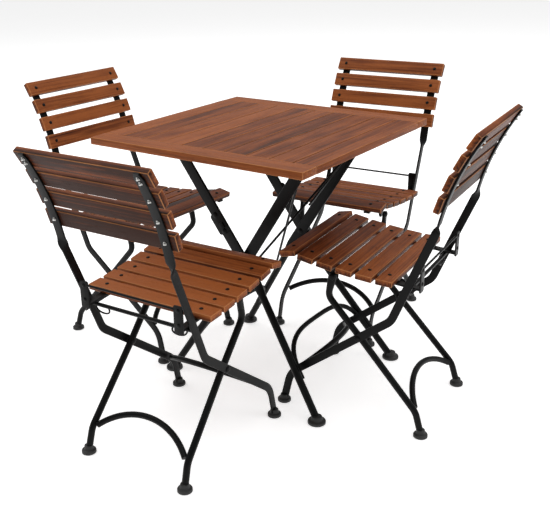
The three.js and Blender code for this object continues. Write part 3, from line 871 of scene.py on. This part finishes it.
def chair_sides():
    """The pieces that a chair has on both sides."""
    pieces = {}
    for side, label in ((-1, "left"), (1, "right")):
        rear_leg = chair_rear_leg(side, label)
        front = Vector((side * (STILE_X + SPLAY), STILE_CORNERS[-1][0], 0))
        rear = Vector((side * REAR_FOOT_X, REAR_CORNERS[-1][0], 0))
        front_glide = foot(f"front_glide_{label}", CHAIR_FOOT_RADIUS, front)
        rear_glide = foot(f"rear_glide_{label}", CHAIR_FOOT_RADIUS, rear)
        pieces[f"stile_{label}"] = (chair_stile(side, label), "frame", [f"{label}_stile"], "steel")
        pieces[f"rear_leg_{label}"] = (rear_leg, "rear_legs", [f"{label}_rear_leg"], "steel")
        pieces[f"rail_{label}"] = (chair_rail(side, label), "seat", [f"{label}_seat_rail"], "steel")
        pieces[f"front_glide_{label}"] = (front_glide, "frame", [], "steel")
        pieces[f"rear_glide_{label}"] = (rear_glide, "rear_legs", [], "steel")
    return pieces


def chair_arches():
    front_span = STILE_X - STILE_THICK / 2 - ARCH_RADIUS + FRONT_ARCH_WELD
    rear_span = REAR_FOOT_X - REAR_LEG_RADIUS - ARCH_RADIUS + REAR_ARCH_WELD
    front_arch = chair_arch("front_bow", front_span, FRONT_ARCH_FOOT, STILE_CORNERS[1][:2])
    rear_arch = chair_arch("rear_bow", rear_span, REAR_ARCH_FOOT, PIVOT)
    return {
        "front_bow": (front_arch, "frame", ["front_arch"], "steel"),
        "rear_bow": (rear_arch, "rear_legs", ["rear_arch"], "steel"),
    }


def chair_pieces():
    pieces = {}
    for make in (
        chair_sides, chair_arches, chair_seat_slats, chair_back_slats,
        chair_heads, chair_rivets, chair_mechanism,
    ):
        pieces.update(make())
    return pieces


def chair_place(chair):
    """From the chair's own frame to its place, read from its leg joint."""
    joint = joints[f"{chair}_leg_fold"]
    right = Vector(joint["axis"])
    forward = UP.cross(right)
    turn = Matrix((right, forward, UP)).transposed().to_4x4()
    pivot = Vector((0, *PIVOT))
    return Matrix.Translation(Vector(joint["pos_m"]) - turn @ pivot) @ turn


def recut(piece, tone):
    """Takes a copied slat from another place in the wood, with another tone; for a seat slat this tone holds
    its chair's painted light and shade.
    """
    change = Vector((draw.uniform(0, GRAIN_REACH), draw.uniform(0, GRAIN_REACH), 0))
    tone += draw.uniform(-PLACE_TONE_SPREAD, PLACE_TONE_SPREAD)
    for item in piece.data.attributes["grain"].data:
        item.vector = Vector(item.vector) + change
    for item in piece.data.attributes["tone"].data:
        item.value += tone


def set_out_chairs():
    pieces = chair_pieces()
    for chair in CHAIRS:
        place = chair_place(chair)
        for name, (piece, part, nodes, slot) in pieces.items():
            twin = copy_of(piece, f"{chair}_{name}", place)
            if slot == "wood":
                # Seat slats take their chair's painted light and shade.
                recut(twin, SEAT_PAINTED_LIGHT_AND_SHADE[chair] if part == "seat" else 0.0)
            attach(twin, f"{chair}_{part}")
            if nodes:
                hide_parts(*[f"{chair}_{node}" for node in nodes])
    for piece, _, _, _ in pieces.values():
        bpy.data.objects.remove(piece)


# ---- Table pieces, about the table's middle ----


def settle(piece, body, nodes):
    piece.data.transform(Matrix.Translation(TABLE_MIDDLE))
    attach(piece, body)
    if nodes:
        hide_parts(*nodes)


def table_top():
    wide = (TOP_SIDE - (BOARD_COUNT - 1) * BOARD_GAP) / BOARD_COUNT
    size = (TOP_SIDE - 2 * END_WIDTH - BOARD_SHORT, wide, TOP_THICK)
    quarter = Matrix.Rotation(math.pi / 2, 4, "Z")
    height = TOP_HEIGHT - TOP_THICK / 2
    for i in range(BOARD_COUNT):
        x = -TOP_SIDE / 2 + wide / 2 + i * (wide + BOARD_GAP)
        tone = DARK_TONE if i == DARK_BOARD else draw.uniform(-PLACE_TONE_SPREAD, PLACE_TONE_SPREAD)
        matrix = Matrix.Translation((x, 0, height)) @ quarter
        piece = coated(board(f"table_board_{i + 1}", size, BOARD_EDGE, matrix, tone), WOOD)
        settle(piece, "table_top", ["table_slat_panel"] if i == 0 else [])
    end_size = (TOP_SIDE, END_WIDTH, TOP_THICK)
    batten_size = (TOP_SIDE - BATTEN_SHORT, BATTEN_WIDE, BATTEN_THICK)
    for side, label in ((-1, "front"), (1, "back")):
        matrix = Matrix.Translation((0, side * (TOP_SIDE - END_WIDTH) / 2, height))
        piece = coated(board(f"table_end_{label}", end_size, END_EDGE, matrix, END_TONE), WOOD)
        settle(piece, "table_top", [f"table_end_board_{label}"])
        matrix = Matrix.Translation((0, side * BATTEN_INSET, TOP_HEIGHT - TOP_THICK - BATTEN_DROP))
        piece = coated(board(f"table_batten_{label}", batten_size, BATTEN_EDGE, matrix, BATTEN_TONE), WOOD)
        settle(piece, "table_top", [])


def leg_x(top_x, z):
    """Both frames are straight in side view, through their top bar and the crossing."""
    return top_x + (CROSSING_X - top_x) * (LEG_TOP_Z - z) / (LEG_TOP_Z - CROSSING_Z)


def table_leg(name, top_x, side, upper_y, foot_y):
    """A tube pressed flat above the crossing and left round below, where it spreads outwards."""
    # Close together where the leg bends and changes its section, far apart elsewhere.
    heights = [LEG_TOP_Z + LEG_TIP, LEG_TOP_Z + LEG_TIP - 0.003, LEG_TOP_Z, CROSSING_Z + 0.02]
    heights += [LEG_BEND_Z + 0.03 - 0.006 * i for i in range(16)]
    heights += [0.2, 0.1, 0.006]

    def spread_share(drop):
        return drop * drop / (drop + LEG_BEND_EASE) if drop > 0 else 0.0

    def spot(z):
        share = spread_share(LEG_BEND_Z - z) / spread_share(LEG_BEND_Z)
        return Vector((leg_x(top_x, z), side * (upper_y + (foot_y - upper_y) * share), z))

    line = [spot(z) for z in heights]
    flat, tube = flat_section(LEG_WIDTH, LEG_THICK, LEG_EDGE), round_section(LEG_RADIUS)
    tip = flat_section(LEG_WIDTH * LEG_TIP_SHARE, LEG_THICK, LEG_EDGE)

    def section(i):
        return between(flat, tube, eased((LEG_PRESS_Z - line[i].z) / LEG_PRESS_LENGTH)) if i else tip

    return coated(bent_bar(name, line, section, ACROSS), STEEL)


def table_bow(name, top_x, upper_y, foot_y):
    """A bow with squared shoulders between two legs, leaning with them."""
    low, high = TABLE_ARCH_Z
    slope = (foot_y - upper_y) / LEG_BEND_Z
    line = []
    for i in range(ARCH_STEPS + 1):
        angle = math.pi * i / ARCH_STEPS
        across = -math.copysign(abs(math.cos(angle)) ** TABLE_ARCH_SHOULDER, math.cos(angle))
        z = low + (high - low) * math.sin(angle) ** TABLE_ARCH_SHOULDER
        reach = foot_y - slope * z - LEG_RADIUS - TABLE_ARCH_RADIUS + TABLE_ARCH_WELD
        line.append(Vector((leg_x(top_x, z), across * reach, z)))
    return coated(bent_bar(name, line, round_section(TABLE_ARCH_RADIUS), UP), STEEL)


def table_carrier(name, x, half):
    line = [Vector((x, side * half, LEG_TOP_Z)) for side in (-1, 1)]
    return coated(bent_bar(name, line, round_section(CARRIER_RADIUS), UP), STEEL)


def table_saddles(name, x):
    """Straps screwed under the top that go round a carrier bar."""
    straps = []
    flat_z = TOP_HEIGHT - TOP_THICK - BATTEN_THICK - SADDLE_DROP
    hold = CARRIER_RADIUS + SADDLE_PLAY
    bends = [math.pi * (1 + i / 8) for i in range(9)]
    for side in (-1, 1):
        y = side * SADDLE_Y
        points = [Vector((x - SADDLE_REACH, y, flat_z)), Vector((x - hold, y, flat_z))]
        points += [Vector((x + hold * math.cos(a), y, LEG_TOP_Z + hold * math.sin(a))) for a in bends]
        points += [Vector((x + hold, y, flat_z)), Vector((x + SADDLE_REACH, y, flat_z))]
        strap = flat_section(SADDLE_WIDE, SADDLE_THICK, SADDLE_EDGE)
        straps.append(bent_bar(f"{name}_{side}", points, strap, TABLE_ACROSS))
    return coated(join(straps, name), STEEL)


def table_frames():
    for which, top_x, upper_y, foot_y in (
        ("outer", OUTER_TOP_X, OUTER_UPPER_Y, OUTER_FOOT_Y),
        ("inner", INNER_TOP_X, INNER_UPPER_Y, INNER_FOOT_Y),
    ):
        body = f"table_{which}_frame"
        for side, label in ((-1, "front"), (1, "back")):
            leg = table_leg(f"table_{which}_bar_{label}", top_x, side, upper_y, foot_y)
            settle(leg, body, [f"table_{which}_leg_{label}"])
            spot = Vector((leg_x(top_x, 0.008), side * foot_y, 0))
            settle(foot(f"table_{which}_glide_{label}", TABLE_FOOT_RADIUS, spot), body, [])
        bow = table_bow(f"table_{which}_bow", top_x, upper_y, foot_y)
        settle(bow, body, [f"table_{which}_arch"])
    outer_bar = table_carrier("table_hinge_rod", OUTER_TOP_X, OUTER_UPPER_Y - LEG_THICK / 2)
    inner_bar = table_carrier("table_catch_rod", INNER_TOP_X, INNER_UPPER_Y - LEG_THICK / 2)
    settle(outer_bar, "table_outer_frame", ["table_hinge_bar"])
    settle(inner_bar, "table_inner_frame", ["table_catch_bar"])
    settle(table_saddles("table_hinge_straps", OUTER_TOP_X), "table_top", [])


def catch_plate(side, lean):
    """The plate on an outer leg, with its small block."""
    block_x, block_y, block_z = CATCH_BLOCK_PLACE
    catch = plate(f"catch_{side}", CATCH_PLATE, CATCH_PLATE_EDGE, Vector((0, 0, 0)))
    block_middle = Vector((block_x, side * block_y, block_z))
    block = plate(f"block_{side}", CATCH_BLOCK, CATCH_BLOCK_EDGE, block_middle)
    both = join([catch, block], f"catch_plate_{side}")
    y = side * (OUTER_UPPER_Y + LEG_THICK / 2 + CATCH_PLATE[1] / 2)
    spot = Vector((leg_x(OUTER_TOP_X, CATCH_PLATE_Z), y, CATCH_PLATE_Z))
    both.data.transform(Matrix.Translation(spot) @ lean)
    return both


def table_plates():
    """Catch plates on the outer legs, and the rivets on them and where the legs cross."""
    lean = Matrix.Rotation(-math.atan2(CROSSING_X - OUTER_TOP_X, LEG_TOP_Z - CROSSING_Z), 4, "Y")
    plates = [catch_plate(side, lean) for side in (-1, 1)]
    outer_face = OUTER_UPPER_Y + LEG_THICK / 2
    inner_face = INNER_UPPER_Y - LEG_THICK / 2
    plate_face = outer_face + CATCH_PLATE[1] / 2 + CATCH_RIVET_OUT
    outer_rivets, inner_rivets = [], []
    for side in (-1, 1):
        out = (0, side, 0)
        for z in (CATCH_PLATE_Z - CATCH_RIVET_UP, CATCH_PLATE_Z + CATCH_RIVET_UP):
            outer_rivets.append(pointing((leg_x(OUTER_TOP_X, z), side * plate_face, z), out))
        outer_rivets.append(pointing((CROSSING_X, side * (outer_face - TABLE_RIVET_SUNK), CROSSING_Z), out))
        inside = side * (inner_face + TABLE_RIVET_SUNK)
        inner_rivets.append(pointing((CROSSING_X, inside, CROSSING_Z), (0, -side, 0)))
    settle(coated(join(plates, "table_catch_plates"), STEEL), "table_outer_frame", [])
    settle(rivets(RIVET_PROFILE, "table_outer_rivets", outer_rivets), "table_outer_frame", [])
    settle(rivets(RIVET_PROFILE, "table_inner_rivets", inner_rivets), "table_inner_frame", [])


def table_brace():
    """Two thin rods crossed between the inner legs, and the flat stay beside one of them."""
    half = INNER_UPPER_Y - LEG_THICK / 2 - BRACE_PLAY
    high, low = BRACE_Z
    rods = []
    for side in (-1, 1):
        upper = Vector((leg_x(INNER_TOP_X, high), side * (half - BRACE_NARROWER), high))
        lower = Vector((leg_x(INNER_TOP_X, low), -side * half, low))
        rods.append(bent_bar(f"rod_{side}", [upper, lower], round_section(BRACE_RADIUS), ACROSS))
    stay_low = high - STAY_FALL
    stay = [
        Vector((leg_x(INNER_TOP_X, high) + STAY_FORWARD, half - STAY_INSET[0], high + STAY_FORWARD)),
        Vector((leg_x(INNER_TOP_X, stay_low) + STAY_FORWARD, half - STAY_INSET[1], stay_low)),
    ]
    rods.append(bent_bar("stay", stay, flat_section(STAY_WIDE, STAY_THICK), TABLE_ACROSS))
    settle(coated(join(rods, "table_brace_rods"), STEEL), "table_inner_frame", ["table_cross_brace"])


# ---- Room ----

FLOOR_GLOW, WORLD_STRENGTH = 0.57, 0.36


def make_room():
    bpy.ops.mesh.primitive_plane_add(size=30)
    floor = bpy.context.object
    floor.name = "floor"
    finish = Finish("pale_floor")
    place = finish.node("ShaderNodeTexCoord", out="Object")
    cloud = finish.noise(place, (3, 3, 3), detail=2)
    pale = finish.mixed(cloud, (0.86, 0.86, 0.86, 1), (0.90, 0.90, 0.90, 1))
    glow = {"Emission_Color": (1, 1, 1, 1), "Emission_Strength": FLOOR_GLOW}
    coated(floor, finish.set(Base_Color=pale, Roughness=0.9, **glow))
    world = bpy.context.scene.world or bpy.data.worlds.new("world")
    bpy.context.scene.world = world
    world.use_nodes = True
    background = world.node_tree.nodes["Background"]
    background.inputs["Color"].default_value = (1, 1, 1, 1)
    background.inputs["Strength"].default_value = WORLD_STRENGTH
    add_soft_light("top", (-0.8, 0.6, 5.0), 9.0, 330)
    add_soft_light("side", (3.0, 0.6, 2.4), 2.0, 16)
    bpy.context.scene.view_settings.view_transform = "Standard"


def add_soft_light(name, place, size, power):
    bpy.ops.object.light_add(type="AREA", location=place)
    light = bpy.context.object
    light.name = name
    light.data.size = size
    light.data.energy = power
    aim = Vector((0, 0, 0.4)) - Vector(place)
    light.rotation_euler = aim.to_track_quat("-Z", "Y").to_euler()


make_camera()
make_room()
set_out_chairs()
table_top()
table_frames()
table_plates()
table_brace()

bpy.context.view_layer.update()
